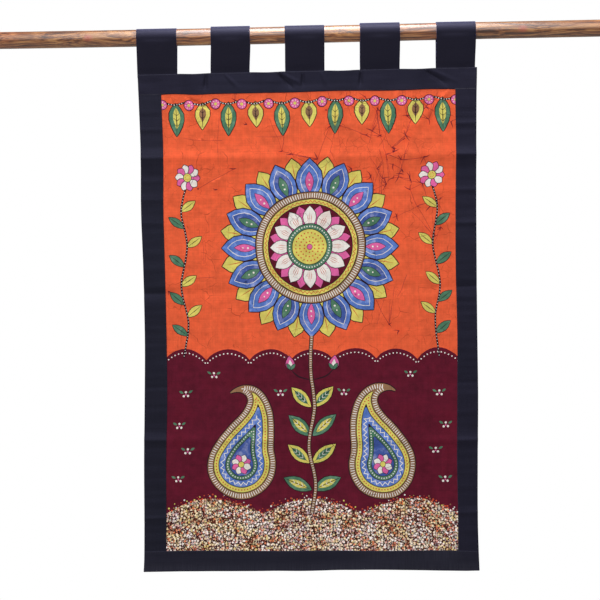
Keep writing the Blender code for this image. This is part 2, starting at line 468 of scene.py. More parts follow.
def between_tabs(across):
    """0 on a tab, and up to 1 halfway between two."""
    left_edge = lengthwise("outer_left", heading_top.left)
    right_edge = lengthwise("outer_right", heading_top.right)
    x = mix(left_edge, right_edge, (across + 1.0) / 2.0)
    for left, right in zip(tabs, tabs[1:]):
        start = left.centre + left.width / 2.0
        end = right.centre - right.width / 2.0
        if start < x < end:
            return math.sin(math.pi * (x - start) / (end - start)) ** 2
    return 0.0


def crosswise(line, across):
    """The height of a crosswise edge or seam, at a place across the cloth."""
    height = mix(line.left, line.right, (across + 1.0) / 2.0)
    if line is cloth_bottom:
        height += bottom_rise * (1.0 - across * across)
    if line is heading_top:
        height -= heading_sag * between_tabs(across)
    for wave in seam_waves.get(line, ()):
        height += wave.rise * hump(across - wave.centre, wave.half_width)
    return height


def puckering(puckers, x, height):
    """How far the puckers lift the cloth here."""
    lift = 0.0
    for pucker in puckers:
        run = Vector((pucker.x_end - pucker.x_start, pucker.z_end - pucker.z_start))
        place = Vector((x - pucker.x_start, height - pucker.z_start))
        along = place.dot(run) / run.length_squared
        if not -0.1 < along < 1.4:
            continue
        beside = (place - along * run).length
        fan = mix(0.5, 1.5, min(max(along, 0.0), 1.0))
        strength = ease((along + 0.1) / 0.3) * (1.0 - ease((along - 0.6) / 0.8))
        lift += pucker.rise * strength * hump(beside, pucker.half_width * fan)
    return lift


def relief(x, height):
    """How far the cloth's middle surface stands forward of the rod's axis."""
    across = across_at(x, height)
    top = crosswise(heading_top, across)
    length = top - crosswise(cloth_bottom, across)
    down = (top - height) / length
    forward = heading_bow * between_tabs(across) * (1.0 - ease(down / bow_fades_at))
    for crease in creases:
        shift = crease_waver * noise.noise(Vector((x * 7.0, crease.left * 50.0, 2.0)))
        below = (down - mix(crease.left, crease.right, (across + 1.0) / 2.0)) * length + shift
        width = crease.below if below > 0.0 else crease.above
        forward += crease.rise * max(1.0 - abs(below) / width, 0.0) ** crease_sharpness
    for flute in flutes:
        grown = ease((down - flute.start) / (1.0 - flute.start))
        forward += flute.rise * grown * hump(across - flute.centre, flute.half_width)
    free = ease(down / free_from)
    broad = noise.noise(Vector((x * 9.0, height * 11.0, 0.3)))
    fine = noise.noise(Vector((x * 34.0, height * 46.0, 4.1)))
    wrinkle = noise.noise(Vector((x * 7.0, height * 105.0, 9.4)))
    return forward + free * (broad_waver * broad + fine_waver * fine + wrinkle_rise * wrinkle)


Area = namedtuple("Area", "left right top bottom")
panel_area = Area("inner_left", "inner_right", panel_top, panel_bottom)


def hung(area, share, down, puckers=()):
    """A point of the hanging cloth. share goes across an area of it from the left, and down from its
    top."""

    def x_at(height):
        return mix(lengthwise(area.left, height), lengthwise(area.right, height), share)

    def line_height(line):
        across = across_at(x_at(mix(line.left, line.right, share)), line.left)
        return crosswise(line, min(max(across, -1.0), 1.0))

    height = mix(line_height(area.top), line_height(area.bottom), down)
    x = x_at(height)
    return Vector((x, -relief(x, height) - puckering(puckers, x, height), height))


# The design is drawn flat, in millimetres from the panel's middle, as a dyer draws it in wax: each
# shape covers what was laid before it. A slow waver over the whole drawing makes its lines a hand's.
# A dye has its colour, how much it clouds and how much it crackles. The grain is drops of many dyes.
Dye = namedtuple("Dye", "colour mottle veins grain")
dyes = {
    "orange": Dye((0.775, 0.112, 0.040), 0.52, 0.60, 0.0),
    "maroon": Dye((0.106, 0.0056, 0.0200), 0.70, 0.00, 0.0),
    "line": Dye((0.022, 0.007, 0.013), 0.20, 0.00, 0.0),
    "crack": Dye((0.150, 0.012, 0.026), 0.60, 0.00, 0.0),
    "faint crack": Dye((0.370, 0.040, 0.034), 0.60, 0.00, 0.0),
    "blue": Dye((0.100, 0.200, 0.580), 1.00, 0.60, 0.0),
    "deep blue": Dye((0.055, 0.105, 0.370), 1.00, 0.50, 0.0),
    "yellow": Dye((0.660, 0.590, 0.130), 0.60, 0.90, 0.0),
    "brown": Dye((0.270, 0.150, 0.076), 0.70, 0.50, 0.0),
    "green": Dye((0.075, 0.200, 0.120), 0.80, 0.50, 0.0),
    "cream": Dye((0.800, 0.765, 0.720), 0.25, 0.90, 0.0),
    "pink": Dye((0.700, 0.125, 0.350), 0.60, 0.60, 0.0),
    "rust": Dye((0.540, 0.075, 0.030), 0.60, 0.30, 0.0),
    "grain": Dye((0.085, 0.0075, 0.018), 0.20, 0.00, 1.0),
}

Shape = namedtuple("Shape", "ring dye")
drawing = []
slow_size, slow_reach = 62.0, 2.6
quick_size, quick_reach = 13.0, 0.45
press_size, press_reach = 9.0, 0.35


def waver(x, y):
    """Shifts a point of the drawing as an unsteady hand does."""
    shifts = []
    for layer in (7.3, 21.6):
        slow = noise.noise(Vector((x / slow_size, y / slow_size, layer)))
        quick = noise.noise(Vector((x / quick_size, y / quick_size, layer + 4.0)))
        shifts.append(slow_reach * slow + quick_reach * quick)
    return (x + shifts[0], y + shifts[1])


def lay(ring, dye):
    """Covers the area inside a ring of points with a dye."""
    drawing.append(Shape([waver(x, y) for x, y in ring], dyes[dye]))


def widened(ring, distance):
    """The ring moved outwards, by a distance that changes a little on the way round."""
    moved = []
    count = len(ring)
    for i, (x, y) in enumerate(ring):
        run = Vector(ring[(i + 1) % count]) - Vector(ring[i - 1])
        run = run.normalized() if run.length > 0.001 else Vector((1.0, 0.0))
        press = 1.0 + press_reach * noise.noise(Vector((x / press_size, y / press_size, 11.0)))
        moved.append((x + run.y * distance * press, y - run.x * distance * press))
    return moved


def outlined(ring, dye, line=1.3):
    """A dyed shape inside a dark line. The ring runs anticlockwise."""
    lay(widened(ring, line), "line")
    lay(ring, dye)


def turned_point(centre, radius, degrees):
    angle = math.radians(degrees)
    return (centre[0] + radius * math.cos(angle), centre[1] + radius * math.sin(angle))


def part_way(start, end, share):
    return tuple(Vector(start).lerp(Vector(end), share))


def disc(x, y, radius, sides=24):
    return [turned_point((x, y), radius, 360.0 * i / sides) for i in range(sides)]


def petal(root, tip, width, shoulder=0.5, fullness=0.8, steps=8):
    """A petal or leaf from its round root to its pointed tip, widest at its shoulder."""
    root, tip = Vector(root), Vector(tip)
    run = tip - root
    side = Vector((run.y, -run.x)).normalized()
    power = math.log(0.5) / math.log(shoulder)
    right, left = [], []
    for i in range(steps + 1):
        share = 0.5 - 0.5 * math.cos(math.pi * i / steps)
        swell = max(math.sin(math.pi * share**power), 0.0)
        half = 0.5 * width * swell ** mix(fullness, 1.05, share**3)
        middle = root + share * run
        right.append(tuple(middle + side * half))
        left.append(tuple(middle - side * half))
    return right + left[-2:0:-1]


def round_petal(centre, inner, outer, degrees, width, shoulder, fullness):
    """A petal of a round flower."""
    root = turned_point(centre, inner, degrees)
    return petal(root, turned_point(centre, outer, degrees), width, shoulder, fullness)


def stroke(points, widths):
    """A brush line along some points, with its width at each of them."""
    right, left = [], []
    last = len(points) - 1
    for i, point in enumerate(points):
        run = Vector(points[min(i + 1, last)]) - Vector(points[max(i - 1, 0)])
        side = Vector((run.y, -run.x)).normalized() * widths[i] / 2.0
        right.append(tuple(Vector(point) + side))
        left.append(tuple(Vector(point) - side))
    return right + left[::-1]


def brush_line(points, width, dye):
    """A brush line of one width."""
    lay(stroke(points, [width] * len(points)), dye)


def tapered(points, width, dye):
    """A line that thins towards both of its ends."""
    last = len(points) - 1
    widths = [width * (0.25 + 0.75 * math.sin(math.pi * i / last)) for i in range(last + 1)]
    lay(stroke(points, widths), dye)


def curve(points, steps):
    """A smooth line through some points."""
    last = len(points) - 1
    found = []
    for i in range(last):
        a, b, c, d = (Vector(points[min(max(i + k, 0), last)]) for k in (-1, 0, 1, 2))
        for step in range(steps):
            t = step / steps
            squared = (2.0 * a - 5.0 * b + 4.0 * c - d) * t**2
            cubed = (3.0 * b - a - 3.0 * c + d) * t**3
            found.append(tuple(b + 0.5 * ((c - a) * t + squared + cubed)))
    found.append(tuple(points[-1]))
    return found


def spaced(points, pitch, closed=True):
    """Places at an even pitch along a line, each with its direction."""
    line = [Vector(point) for point in points]
    if closed:
        line.append(line[0])
    total = sum((b - a).length for a, b in zip(line, line[1:]))
    pitch = total / max(round(total / pitch), 1)
    found = []
    wanted = pitch / 2.0
    walked = 0.0
    for a, b in zip(line, line[1:]):
        length = (b - a).length
        while length > 0.0 and wanted <= walked + length:
            found.append((a.lerp(b, (wanted - walked) / length), (b - a).normalized()))
            wanted += pitch
        walked += length
    return found


def dots(points, radius, pitch, dye, closed=True):
    for place, _ in spaced(points, pitch, closed):
        lay(disc(place.x, place.y, radius, 6), dye)


def ticks(points, length, width, pitch, dye, closed=True):
    """Short bars across a line."""
    for place, run in spaced(points, pitch, closed):
        side = Vector((run.y, -run.x)) * length / 2.0
        brush_line([place - side, place + side], width, dye)


def zigzag(points, height, width, pitch, dye):
    """A zigzag along a closed line, a bar for each of its sides."""
    corners = []
    for i, (place, run) in enumerate(spaced(points, pitch)):
        side = Vector((run.y, -run.x)) * height / 2.0
        corners.append(place + side * (1.0 if i % 2 else -1.0))
    for a, b in zip(corners, corners[1:] + corners[:1]):
        over = (b - a).normalized() * width / 2.0
        brush_line([a - over, b + over], width, dye)


def round_flower(centre, petals, first, inner, outer, width, shoulder, fullness, line):
    """An open flower, with pink and cream petals by turns."""
    for i in range(petals):
        ring = round_petal(centre, inner, outer, first + 360.0 / petals * i, width, shoulder, fullness)
        outlined(ring, "cream" if i % 2 else "pink", line)


# The two grounds: orange above, and maroon below with a scalloped and dotted upper edge.
half_width = panel_width / 2.0 + panel_tuck
half_height = panel_height / 2.0 + panel_tuck
cloth_corners = [(-half_width, -half_height), (half_width, -half_height)]
cloth_corners += [(half_width, half_height), (-half_width, half_height)]
cloth_edge = []
for i, corner in enumerate(cloth_corners):
    following = cloth_corners[(i + 1) % 4]
    steps = round((Vector(following) - Vector(corner)).length / panel_pitch)
    cloth_edge.extend(part_way(corner, following, step / steps) for step in range(steps))
drawing.append(Shape(cloth_edge, dyes["orange"]))

# Cracks where the wax broke and the dark dye ran in: blots with broken legs, most of them at the
# upper right, and faint straight lines from one to the next or fanning out from one.
crack_hand = random.Random(11)
crack_blots = []


def crack_blot(x, y, reach):
    turn = crack_hand.uniform(0.0, 360.0)
    legs = crack_hand.choice((2, 2, 3, 3, 4))
    lay(disc(x, y, crack_hand.uniform(0.7, 1.5), 5), "crack")
    for leg in range(legs):
        degrees = turn + crack_hand.choice((0.0, 60.0, 150.0, 215.0, 300.0)) + 14.0 * leg
        length = reach * crack_hand.uniform(0.35, 1.2)
        middle = turned_point((x, y), length * 0.5, degrees + crack_hand.uniform(-14.0, 14.0))
        end = turned_point((x, y), length, degrees)
        thick = crack_hand.uniform(0.9, 1.9)
        lay(stroke([(x, y), middle, end], [thick, thick * 0.7, 0.25]), "crack")
    crack_blots.append((x, y))


def crack_line(start, end, width, dye):
    """A straight crack with slight kinks."""
    kinks = 3
    points = [start]
    for i in range(1, kinks):
        x, y = part_way(start, end, i / kinks)
        points.append((x + crack_hand.uniform(-1.2, 1.2), y + crack_hand.uniform(-1.2, 1.2)))
    points.append(end)
    lay(stroke(points, [width * crack_hand.uniform(0.5, 1.1) for _ in points]), dye)


for _ in range(50):
    crack_blot(crack_hand.triangular(-30.0, 238.0, 170.0), crack_hand.triangular(40.0, 374.0, 330.0), 11.0)
for _ in range(30):
    crack_blot(crack_hand.uniform(-238.0, 238.0), crack_hand.uniform(-54.0, 374.0), 7.0)
for number, start in enumerate(crack_blots):
    near = sorted(crack_blots, key=lambda place: (Vector(place) - Vector(start)).length)
    end = near[2 if number % 3 else 4]
    if (Vector(end) - Vector(start)).length < 75.0:
        crack_line(start, end, 0.75, "crack" if number % 4 == 0 else "faint crack")
for start in crack_blots[::4]:
    slant = crack_hand.choice((90.0, 90.0, 270.0, 62.0, 118.0))
    for _ in range(3):
        end = turned_point(start, crack_hand.uniform(18.0, 62.0), slant + crack_hand.uniform(-20.0, 20.0))
        crack_line(start, end, 0.6, "faint crack")
for _ in range(12):
    start = (crack_hand.uniform(-225.0, 235.0), crack_hand.uniform(-30.0, 360.0))
    slant = crack_hand.choice((84.0, 92.0, 100.0, 70.0, 4.0)) + crack_hand.uniform(-10.0, 10.0)
    end = turned_point(start, crack_hand.uniform(25.0, 80.0), slant)
    crack_line(start, end, 0.6, "faint crack")


def ground(humps, steps, foot, rise, roundness, dye):
    """Covers the cloth below a row of humps, and gives their upper edge from right to left."""
    edge = []
    for i in range(humps * steps + 1):
        x = half_width - 2.0 * half_width * i / (humps * steps)
        edge.append((x, foot + rise * abs(math.sin(math.pi * i / steps)) ** roundness))
    beyond, below = half_width + 8.0, -half_height - 8.0
    lay([(-beyond, below), (beyond, below), (beyond, foot)] + edge + [(-beyond, foot)], dye)
    return edge


scallop_edge = ground(7, 10, -62.0, 17.0, 0.75, "maroon")
dots([(x, y - 7.0) for x, y in scallop_edge], 1.25, 6.2, "cream", closed=False)

# Scattered grain along the foot of the cloth, heaped in three low mounds, with loose grains above.
mound_edge = ground(3, 12, -318.0, 26.0, 1.0, "grain")
loose_grains = ("rust", "rust", "rust", "cream", "orange", "brown", "yellow")
for place, _ in spaced(mound_edge, 2.7, closed=False):
    x = place.x + crack_hand.uniform(-1.5, 1.5)
    y = place.y + crack_hand.triangular(-2.0, 10.0, 0.5)
    lay(disc(x, y, crack_hand.uniform(0.7, 1.7), 6), crack_hand.choice(loose_grains))

# A garland along the top: hanging leaves, and a small round flower between each two.
leaf_count = 11
leaf_span = panel_width / leaf_count
garland_height = 366.0
garland = []
for i in range(6 * leaf_count + 1):
    sag = 5.0 * math.sin(math.pi * i / 6.0) ** 2
    garland.append((mix(-half_width, half_width, i / (6 * leaf_count)), garland_height - sag))
for i in range(leaf_count):
    x = -panel_width / 2.0 + (i + 0.5) * leaf_span
    leaf_dye, heart_dye, length = (("green", "yellow", 58.0), ("yellow", "brown", 44.0))[i % 2]
    foot = garland_height - length
    outlined(petal((x, foot), (x, garland_height - 2.0), 25.0, 0.58, 0.72), leaf_dye)
    lay(petal((x, foot + 11.0), (x, garland_height - 9.0), 12.0, 0.58, 0.8), heart_dye)
    tapered([(x, foot + 3.0), (x, foot + 20.0), (x, garland_height - 6.0)], 1.5, "line")
    for step in range(3):
        fork = foot + 17.0 + 9.0 * step
        for side in (-5.5, 5.5):
            lay(stroke([(x, fork), (x + side, fork + 5.0)], [1.0, 0.4]), "line")
brush_line(garland, 3.4, "line")
dots(garland, 1.0, 4.4, "cream", closed=False)
for i in range(leaf_count + 1):
    x, y = -panel_width / 2.0 + i * leaf_span, garland_height - 5.0
    outlined(disc(x, y, 7.6, 18), "pink")
    dots(disc(x, y, 5.0, 18), 0.9, 4.2, "cream")
    lay(disc(x, y, 2.6, 9), "yellow")

# The great round lotus: a double row of pointed petals, a ticked ring, a pale inner flower and its
# seed head.
lotus = (0.0, 122.0)


def round_the_lotus(count, first=0.0):
    """The directions of a row of petals, counted from the top."""
    return [90.0 + (i + first) * 360.0 / count for i in range(count)]


for degrees in round_the_lotus(16, 0.5):
    outlined(round_petal(lotus, 78.0, 150.0, degrees, 34.0, 0.6, 0.62), "yellow", 1.5)
    tapered([turned_point(lotus, reach, degrees) for reach in (112.0, 126.0, 141.0)], 1.3, "rust")
for i, degrees in enumerate(round_the_lotus(16)):
    body_dye, heart_dye = (("blue", "pink"), ("deep blue", "green"))[i % 2]
    outlined(round_petal(lotus, 76.0, 147.0, degrees, 42.0, 0.52, 0.66), "blue", 1.6)
    inner_line = round_petal(lotus, 84.0, 137.0, degrees, 28.0, 0.52, 0.7)
    lay(widened(inner_line, 0.9), "cream")
    lay(inner_line, body_dye)
    outlined(round_petal(lotus, 92.0, 126.0, degrees, 13.0, 0.52, 0.8), heart_dye, 0.8)
    for reach, radius in ((104.0, 1.7), (112.0, 1.3)):
        lay(disc(*turned_point(lotus, reach, degrees), radius, 7), "cream")
outlined(disc(*lotus, 91.0, 64), "brown", 1.6)
ticks(disc(*lotus, 85.5, 64), 8.0, 1.5, 3.9, "cream")
outlined(disc(*lotus, 78.4, 64), "yellow", 1.6)
zigzag(disc(*lotus, 74.6, 64), 3.6, 1.0, 3.7, "rust")
outlined(disc(*lotus, 70.0, 64), "maroon", 1.2)
for degrees in round_the_lotus(12, 0.5):
    outlined(round_petal(lotus, 30.0, 69.0, degrees, 20.0, 0.55, 0.7), "pink", 0.8)
for degrees in round_the_lotus(12):
    outlined(round_petal(lotus, 30.0, 67.0, degrees, 22.0, 0.5, 0.68), "cream", 1.1)
    for sway in (-4.0, 0.0, 4.0):
        vein = [
            turned_point(lotus, 38.0, degrees + sway * 0.8),
            turned_point(lotus, 48.0, degrees + sway),
            turned_point(lotus, 57.0 - abs(sway), degrees + sway * 0.6),
        ]
        tapered(vein, 0.9, "rust")
outlined(disc(*lotus, 37.0, 40), "green", 1.3)
dots(disc(*lotus, 33.4, 40), 1.25, 4.6, "cream")
outlined(disc(*lotus, 28.4, 40), "yellow", 1.2)
for radius, pitch in ((23.0, 6.0), (16.0, 5.6), (9.0, 5.6)):
    dots(disc(*lotus, radius, 36), 1.35, pitch, "rust")
outlined(disc(*lotus, 4.2, 12), "pink", 0.8)


# The stalk below the lotus, with its leaves in pairs and a bud on each side.
def veined_leaf(root, tip, leaf_dye, heart_dye):
    run = Vector(tip) - Vector(root)
    outlined(petal(root, tip, run.length * 0.42), leaf_dye)
    lay(petal(part_way(root, tip, 0.16), part_way(root, tip, 0.84), run.length * 0.22), heart_dye)
    tapered([part_way(root, tip, share) for share in (0.06, 0.4, 0.75, 0.95)], 1.4, "line")
    lean = math.degrees(math.atan2(run.y, run.x))
    for share in (0.3, 0.45, 0.6):
        fork = part_way(root, tip, share)
        for turn in (-38.0, 38.0):
            vein_end = turned_point(fork, run.length * 0.13, lean + turn)
            lay(stroke([fork, vein_end], [0.9, 0.4]), "cream")


stalk_bends = ((0.0, -316.0), (5.0, -262.0), (-4.0, -200.0), (4.0, -140.0), (-2.0, -84.0), (0.0, -23.0))
stalk = curve(stalk_bends, 7)
LeafPair = namedtuple("LeafPair", "height length rise leaf_dye heart_dye")
leaf_pairs = (
    LeafPair(-278.0, 50.0, 24.0, "green", "yellow"),
    LeafPair(-234.0, 50.0, 40.0, "yellow", "green"),
    LeafPair(-188.0, 50.0, 42.0, "green", "yellow"),
    LeafPair(-142.0, 46.0, 46.0, "yellow", "green"),
)
for side in (1.0, -1.0):
    for pair in leaf_pairs:
        root = (side * 2.0, pair.height)
        degrees = pair.rise if side > 0.0 else 180.0 - pair.rise
        veined_leaf(root, turned_point(root, pair.length, degrees), pair.leaf_dye, pair.heart_dye)
    bud_stem = curve([(side * 2.0, -98.0), (side * 22.0, -92.0), (side * 36.0, -80.0)], 4)
    tapered(bud_stem, 2.4, "line")
    bud = bud_stem[-1]
    outlined(petal(bud, (bud[0] + side * 3.0, bud[1] + 23.0), 15.0, 0.4, 0.75), "pink", 1.1)
    lay(petal((bud[0], bud[1] + 2.0), (bud[0] + side * 2.0, bud[1] + 17.0), 6.5, 0.4), "cream")
    for sway in (-7.0, 7.0):
        outlined(petal(bud, (bud[0] + sway, bud[1] + 10.0), 5.0), "green", 0.8)
brush_line(stalk, 7.4, "line")
brush_line(stalk, 4.8, "brown")
ticks(stalk, 3.2, 1.0, 4.0, "cream", closed=False)

# The two great paisleys. A paisley is the reach of a circle that rolls up a bent line and shrinks to
# nothing at its tip, and a band inside it has the same line and a circle smaller all the way.
paisley_heart = (117.0, -236.0)
paisley_radius = 56.0
paisley_reach = 172.0
paisley_taper = 1.2
paisley_steps = 30
SpinePoint = namedtuple("SpinePoint", "place degrees radius contact")
paisley_spine = []
spine_place = Vector(paisley_heart)
for i in range(paisley_steps):
    share = i / paisley_steps
    lean = 16.0 * math.sin(math.pi * min(share / 0.5, 1.0))
    degrees = 98.0 + lean - 152.0 * ease((share - 0.45) / 0.65)
    radius = paisley_radius * (1.0 - share) ** paisley_taper
    shrink = paisley_radius * paisley_taper * (1.0 - share) ** (paisley_taper - 1.0) / paisley_reach
    contact = math.degrees(math.acos(shrink))
    paisley_spine.append(SpinePoint(spine_place.copy(), degrees, radius, contact))
    spine_place += Vector(turned_point((0.0, 0.0), paisley_reach / paisley_steps, degrees))


def paisley_ring(inset, side):
    """The outline of the right or left paisley, held in by inset all round."""
    inside = [point for point in paisley_spine if point.radius - inset > 0.5]
    right = [turned_point(p.place, p.radius - inset, p.degrees - p.contact) for p in inside]
    left = [turned_point(p.place, p.radius - inset, p.degrees + p.contact) for p in inside]
    heel = inside[0]
    heel_steps = 22
    back = []
    for i in range(1, heel_steps):
        turn = mix(heel.contact, 360.0 - heel.contact, i / heel_steps)
        back.append(turned_point(heel.place, heel.radius - inset, heel.degrees + turn))
    ring = right + left[::-1] + back
    return ring if side > 0.0 else [(-x, y) for x, y in ring[::-1]]


paisley_bands = ((-1.6, "line"), (0.0, "brown"), (9.6, "line"), (10.8, "yellow"), (18.0, "line"))
paisley_bands += ((19.2, "blue"), (29.4, "line"), (30.6, "green"), (36.4, "line"), (37.4, "deep blue"))
for side in (1.0, -1.0):
    for inset, dye in paisley_bands:
        lay(paisley_ring(inset, side), dye)
    ticks(paisley_ring(4.8, side), 6.6, 1.4, 3.9, "cream")
    dots(paisley_ring(14.4, side), 1.25, 4.8, "rust")
    zigzag(paisley_ring(24.2, side), 5.0, 1.2, 4.4, "cream")
    dots(paisley_ring(33.4, side), 1.1, 4.4, "cream")
    heart = (side * paisley_heart[0], paisley_heart[1])
    round_flower(heart, 8, 22.5, 3.0, 16.5, 10.0, 0.55, 0.7, 0.8)
    outlined(disc(*heart, 4.4, 12), "yellow", 0.8)

# Slender sprays at both sides of the orange ground, each with its leaves and an open flower.
spray_bends = ((214.0, -60.0), (206.0, 0.0), (216.0, 60.0), (205.0, 124.0), (213.0, 184.0), (202.0, 228.0))
spray_leaves = ((-22.0, 1), (6.0, -1), (34.0, 1), (62.0, -1), (92.0, 1), (122.0, -1), (152.0, 1), (182.0, -1))
for side in (1.0, -1.0):
    stem = curve([(side * x, y) for x, y in spray_bends], 6)
    for height, turn in spray_leaves:
        root = min(stem, key=lambda point: abs(point[1] - height))
        tip = turned_point(root, 31.0, 90.0 - side * turn * 52.0)
        outlined(petal(root, tip, 13.0), "green" if turn > 0 else "yellow", 1.0)
        tapered([root, part_way(root, tip, 0.5), part_way(root, tip, 0.92)], 1.1, "line")
    brush_line(stem, 3.0, "line")
    dots(stem, 0.75, 5.0, "cream", closed=False)
    flower = (stem[-1][0], stem[-1][1] + 12.0)
    round_flower(flower, 10, 0.0, 5.0, 21.0, 11.5, 0.6, 0.66, 1.0)
    outlined(disc(*flower, 6.4, 16), "yellow", 1.0)
    dots(disc(*flower, 3.6, 12), 0.8, 3.4, "rust")

# Small sprigs of three dots and two leaves on the maroon ground.
sprigs = ((212.0, -120.0), (222.0, -172.0), (206.0, -214.0), (222.0, -262.0), (52.0, -118.0), (164.0, -88.0))
for sprig_x, sprig_y in sprigs:
    for side in (1.0, -1.0):
        middle = (side * sprig_x, sprig_y)
        for turn in (90.0, 210.0, 330.0):
            lay(disc(*turned_point(middle, 4.2, turn), 2.0, 8), "cream")
        lay(disc(*middle, 1.4, 7), "pink")
        for turn in (30.0, 150.0):
            root = turned_point(middle, 5.0, turn)
            lay(petal(root, turned_point(middle, 13.0, turn), 4.0, steps=5), "green")


def on_panel(x, y):
    """Where a point of the flat drawing is on the hanging cloth."""
    return hung(panel_area, 0.5 + x / panel_width, 0.5 - y / panel_height, panel_puckers)


# The outlines cut the flat cloth into small faces, along with a plain grid of points where the
# drawing leaves it open and closer points in its puckers. Each face then takes the dye that was laid
# over it last.
edge_margin = 1.0
merge_distance = 0.02
pucker_shows_at = 0.0004
stain_reach = 15.0
cut_points = []
cut_lines = []
drawn_cells = set()
for shape in drawing:
    first = len(cut_points)
    count = len(shape.ring)
    cut_points.extend(Vector(point) for point in shape.ring)
    cut_lines.extend((first + i, first + (i + 1) % count) for i in range(count))
    drawn_cells.update((round(x / panel_pitch), round(y / panel_pitch)) for x, y in shape.ring)
last_column = math.floor((half_width - edge_margin) / panel_pitch)
last_row = math.floor((half_height - edge_margin) / panel_pitch)
between_points = [(panel_pitch * a, panel_pitch * b) for a, b in ((0.5, 0.0), (0.0, 0.5), (0.5, 0.5))]
for column in range(-last_column, last_column + 1):
    for row in range(-last_row, last_row + 1):
        x, y = column * panel_pitch, row * panel_pitch
        if (column, row) not in drawn_cells:
            cut_points.append(Vector((x, y)))
        place = on_panel(x, y)
        if abs(puckering(panel_puckers, place.x, place.z)) > pucker_shows_at:
            cut_points.extend(Vector((x + a, y + b)) for a, b in between_points)
cut_result = delaunay_2d_cdt(cut_points, cut_lines, [], 0, merge_distance)
flat_points = np.array([tuple(point) for point in cut_result[0]])
flat_faces = np.array(cut_result[2])
middles = flat_points[flat_faces].mean(axis=1)
flat_faces = flat_faces[(abs(middles) < (half_width, half_height)).all(axis=1)]
used_points, flat_faces = np.unique(flat_faces, return_inverse=True)
flat_points = flat_points[used_points]
flat_faces = flat_faces.reshape(-1, 3)


def last_laid(middles):
    """For each place, the number of the shape that was laid over it last."""
    order = np.argsort(middles[:, 0])
    middles = middles[order]
    found = np.zeros(len(middles), dtype=int)
    for number, shape in enumerate(drawing):
        ring = np.array(shape.ring)
        start, stop = np.searchsorted(middles[:, 0], (ring[:, 0].min(), ring[:, 0].max()))
        near = middles[start:stop]
        inside = np.zeros(len(near), dtype=bool)
        for (ax, ay), (bx, by) in zip(ring, np.roll(ring, -1, axis=0)):
            if ay != by:
                passes = (ay > near[:, 1]) != (by > near[:, 1])
                inside ^= passes & (near[:, 0] < ax + (near[:, 1] - ay) * (bx - ax) / (by - ay))
        found[order[start:stop][inside]] = number
    return found


batik_mesh = bpy.data.meshes.new("Batik cloth")
batik_mesh.from_pydata([on_panel(x, y) for x, y in flat_points], [], flat_faces.tolist())
batik_mesh.shade_smooth()
face_dyes = [drawing[number].dye for number in last_laid(flat_points[flat_faces].mean(axis=1))]
dye_colours = np.repeat([dye.colour for dye in face_dyes], 3, axis=0)
dye_habits = np.repeat([dye[1:] for dye in face_dyes], 3, axis=0)
from_blots = np.hypot(*(flat_points[:, None, :] - np.array(crack_blots)[None, :, :]).transpose(2, 0, 1))
blot_stain = np.clip(1.0 - from_blots / stain_reach, 0.0, 1.0).max(axis=1)
cloth_places = flat_points[flat_faces.ravel()] * millimetre
batik_mesh.uv_layers.new(name="Cloth").uv.foreach_set("vector", cloth_places.ravel())
for name, kind, domain, field, values in (
    ("dye", "FLOAT_VECTOR", "CORNER", "vector", dye_colours),
    ("dye_habit", "FLOAT_VECTOR", "CORNER", "vector", dye_habits),
    ("blot_stain", "FLOAT", "POINT", "value", blot_stain),
):
    batik_mesh.attributes.new(name, kind, domain).data.foreach_set(field, values.ravel())
batik = in_scene("batik_cloth", batik_mesh)


def thickened(piece, thickness):
    """Gives a cloth its thickness, half on each face."""
    body = piece.modifiers.new("Cloth thickness", "SOLIDIFY")
    body.thickness = thickness
    body.offset = 0.0
    return body


thickened(batik, panel_thickness)


def plain_weave(tree, cloth, threads_per_metre):
    """The over and under of a plain weave, from 0 to 1."""
    heights = []
    for scale in ((threads_per_metre, 0.0, 0.0), (0.0, threads_per_metre, 0.0)):
        ribs = put(tree, "TexWave", Vector=drawn_out(tree, cloth, scale), Scale=math.pi / 10.0)
        ribs.bands_direction = "DIAGONAL"
        ribs.inputs["Distortion"].default_value = 0.6
        heights.append(ribs.outputs["Fac"])
    return times(tree, *heights)


batik_finish, tree, shader = new_finish("Batik cotton", 0.82, 0.12)
cloth = put(tree, "UVMap", uv_map="Cloth").outputs[0]
dyed = put(tree, "Attribute", attribute_name="dye").outputs["Vector"]
habit = put(tree, "Attribute", attribute_name="dye_habit").outputs["Vector"]
mottle, veins, grain = put(tree, "SeparateXYZ", Vector=habit).outputs

# Dye takes unevenly, in clouds and along the threads, and more in the cloth round a crack.
large_clouds = clouds(tree, cloth, 24.0, 4.0, 0.6)
small_clouds = long_clouds(tree, cloth, (85.0, 85.0, 1.0), 3.7, 3.0, 0.6)
warp_streaks = long_clouds(tree, cloth, (520.0, 14.0, 1.0), 0.0, 2.0, 0.6)
weft_streaks = long_clouds(tree, cloth, (12.0, 460.0, 1.0), 0.0, 2.0, 0.6)
cloud_sum = reckon(tree, "ADD", large_clouds, small_clouds)
cloud_light = share_of(tree, cloud_sum, 0.7, 1.3, -0.34, 0.38)
depth = reckon(tree, "ADD", 1.0, times(tree, mottle, cloud_light))
streaks = reckon(tree, "ADD", warp_streaks, weft_streaks)
thread_light = share_of(tree, streaks, 0.7, 1.3, 0.92, 1.08)
dyed = lightened(tree, dyed, times(tree, depth, thread_light))
washed_out = share_of(tree, small_clouds, 0.50, 0.78, 0.0, 0.34)
washed_out = times(tree, washed_out, share_of(tree, mottle, 0.7, 1.0))
dyed = blend_colours(tree, washed_out, dyed, (0.80, 0.78, 0.76))
stain = put(tree, "Attribute", attribute_name="blot_stain").outputs["Fac"]
stain = times(tree, stain, share_of(tree, small_clouds, 0.36, 0.60, 0.1, 1.0))
reddish = times(tree, share_of(tree, large_clouds, 0.46, 0.66, 0.0, 0.6), mottle)
darker = tinted(tree, dyed, (0.84, 0.66, 0.62))
dyed = blend_colours(tree, reckon(tree, "MAXIMUM", stain, reddish), dyed, darker)

